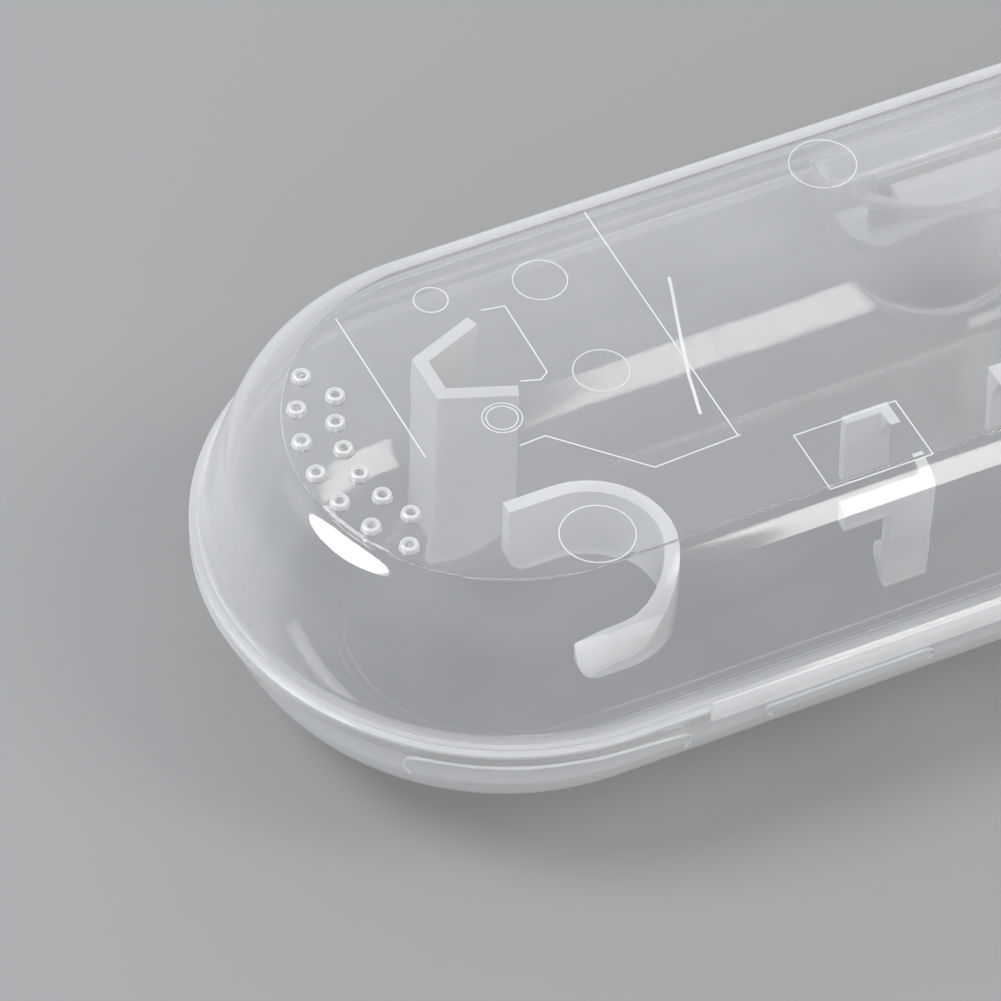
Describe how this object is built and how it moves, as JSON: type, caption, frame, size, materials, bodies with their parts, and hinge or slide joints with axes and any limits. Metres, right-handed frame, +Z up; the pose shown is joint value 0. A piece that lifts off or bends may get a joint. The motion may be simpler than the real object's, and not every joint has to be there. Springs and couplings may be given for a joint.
{
  "type": "electric toothbrush case",
  "caption": "Long clear case with half-round ends: two equal shells on a living hinge, a snap tongue over a finger recess, and moulded holders inside the vented upper shell.",
  "frame": {"origin": "centre of the case's footprint, on the surface it stands on", "axes": "+X along the case away from the vented end, +Y from the hinge side to the latch side, +Z up from the lower shell to the upper shell"},
  "size_m": [0.23, 0.0756, 0.0389],
  "materials": {
    "clear_shell": "clear, slightly milky, glossy polypropylene",
    "milky_holder": "the same polypropylene seen edge on, milky",
    "hinge_film": "worked polypropylene, milky white"
  },
  "bodies": {
    "base": {"lower_shell": "clear_shell", "hinge_leaf_lower": "hinge_film"},
    "lid": {"upper_shell": "clear_shell", "hinge_leaf_upper": "hinge_film", "neck_cup": "milky_holder", "round_hook": "milky_holder", "clip_left_plate": "milky_holder", "clip_left_leg": "milky_holder", "clip_right_plate": "milky_holder", "clip_right_leg": "milky_holder"},
    "latch": {"latch_tongue": "milky_holder"}
  },
  "joints": [
    {"name": "lid_hinge", "type": "hinge", "parent": "base", "child": "lid", "pos_m": [0, -0.0382, 0.019], "axis": [1, 0, 0], "range_deg": [0, 180]},
    {"name": "latch_flex", "type": "hinge", "parent": "lid", "child": "latch", "pos_m": [0, 0.03075, 0.0203], "axis": [1, 0, 0], "range_deg": [0, 14], "stiffness_Nm_per_rad": 0.05}
  ]
}
